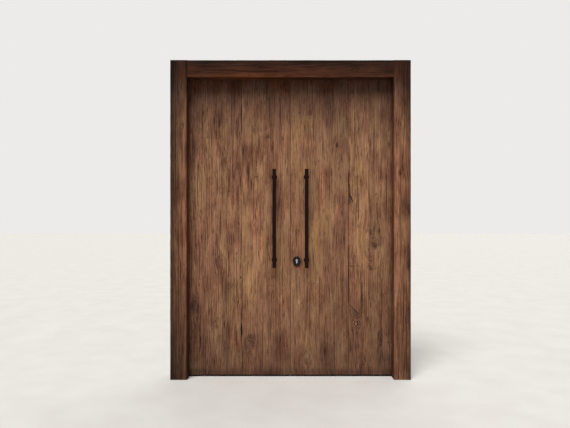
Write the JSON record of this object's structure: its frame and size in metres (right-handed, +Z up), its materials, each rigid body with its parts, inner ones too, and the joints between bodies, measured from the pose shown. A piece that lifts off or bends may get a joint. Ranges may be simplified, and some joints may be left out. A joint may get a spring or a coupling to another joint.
{
  "type": "square-headed double-leaf plank door",
  "caption": "Square-headed double door of weathered vertical oak planks in a heavy oak frame, with long black bar pulls, a deadlock and surface bolts.",
  "frame": {"origin": "on the floor, midway between the posts, in the middle of the depth from the front of the frame to the inner pulls", "axes": "+X to the right seen from outside, +Y inwards through the doorway, +Z up"},
  "size_m": [1.936, 0.241, 2.57],
  "materials": {
    "board_oak": "weathered, open grain",
    "frame_oak": "weathered, oiled dark",
    "inner_oak": "planed and oiled",
    "pale_oak": "end grain",
    "seal_rubber": "matt",
    "black_iron": "satin black",
    "black_gloss": "gloss black",
    "satin_nickel": "satin nickel plate",
    "bright_steel": "zinc plated",
    "hinge_steel": "dark bronzed steel"
  },
  "bodies": {
    "frame": {"frame_post_left": "frame_oak", "frame_post_right": "frame_oak", "frame_head": "frame_oak", "frame_pegs": "pale_oak", "frame_seal": "seal_rubber", "top_bolt_keeper": "black_iron", "left_bottom_frame_flap": "hinge_steel", "left_middle_frame_flap": "hinge_steel", "left_top_frame_flap": "hinge_steel", "right_bottom_frame_flap": "hinge_steel", "right_middle_frame_flap": "hinge_steel", "right_top_frame_flap": "hinge_steel"},
    "left_leaf": {"left_board_1": "board_oak", "left_board_2": "board_oak", "left_board_3": "board_oak", "left_board_4": "board_oak", "left_board_5": "board_oak", "left_hinge_stile": "inner_oak", "left_meeting_stile": "inner_oak", "left_top_rail": "inner_oak", "left_lock_rail": "inner_oak", "left_bottom_rail": "inner_oak", "left_bottom_leaf_flap": "hinge_steel", "left_middle_leaf_flap": "hinge_steel", "left_top_leaf_flap": "hinge_steel", "left_hinge_pins": "hinge_steel", "left_outer_pull": "black_iron", "left_inner_pull": "black_iron", "left_pull_studs": "bright_steel", "strike_plate": "bright_steel", "top_bolt_body": "black_iron", "bottom_bolt_body": "black_iron"},
    "right_leaf": {"right_board_1": "board_oak", "right_board_2": "board_oak", "right_board_3": "board_oak", "right_board_4": "board_oak", "right_hinge_stile": "inner_oak", "right_meeting_stile": "inner_oak", "right_top_rail": "inner_oak", "right_lock_rail": "inner_oak", "right_bottom_rail": "inner_oak", "right_bottom_leaf_flap": "hinge_steel", "right_middle_leaf_flap": "hinge_steel", "right_top_leaf_flap": "hinge_steel", "right_hinge_pins": "hinge_steel", "right_outer_pull": "black_iron", "right_inner_pull": "black_iron", "right_pull_studs": "bright_steel", "lock_case": "bright_steel", "lock_faceplate": "bright_steel", "cylinder_body": "satin_nickel", "outer_escutcheon": "black_gloss", "inner_escutcheon": "black_gloss"},
    "dead_bolt": {"dead_bolt": "bright_steel"},
    "thumbturn": {"thumbturn": "satin_nickel"},
    "key_plug": {"key_plug": "satin_nickel"},
    "top_bolt_rod": {"top_bolt_rod": "bright_steel"},
    "bottom_bolt_rod": {"bottom_bolt_rod": "bright_steel"}
  },
  "joints": [
    {"name": "left_leaf_hinge", "type": "hinge", "parent": "frame", "child": "left_leaf", "pos_m": [-0.8435, 0.0475, 1.23], "axis": [0, 0, 1], "range_deg": [0, 110]},
    {"name": "right_leaf_hinge", "type": "hinge", "parent": "frame", "child": "right_leaf", "pos_m": [0.8435, 0.0475, 1.23], "axis": [0, 0, -1], "range_deg": [0, 110]},
    {"name": "thumbturn_turn", "type": "hinge", "parent": "right_leaf", "child": "thumbturn", "pos_m": [0.05225, 0.0105, 0.954], "axis": [0, -1, 0], "range_deg": [0, 360]},
    {"name": "key_plug_turn", "type": "hinge", "parent": "right_leaf", "child": "key_plug", "pos_m": [0.05225, 0.0105, 0.954], "axis": [0, -1, 0], "range_deg": [0, 360]},
    {"name": "dead_bolt_slide", "type": "slide", "parent": "right_leaf", "child": "dead_bolt", "axis": [-1, 0, 0], "range_m": [0, 0.02]},
    {"name": "top_bolt_slide", "type": "slide", "parent": "left_leaf", "child": "top_bolt_rod", "axis": [0, 0, 1], "range_m": [0, 0.03]},
    {"name": "bottom_bolt_slide", "type": "slide", "parent": "left_leaf", "child": "bottom_bolt_rod", "axis": [0, 0, -1], "range_m": [0, 0.035]}
  ],
  "couplings": [
    {"joint": "thumbturn_turn", "follows": "dead_bolt_slide", "rad_per_m": 314.15},
    {"joint": "key_plug_turn", "follows": "dead_bolt_slide", "rad_per_m": 314.15}
  ]
}
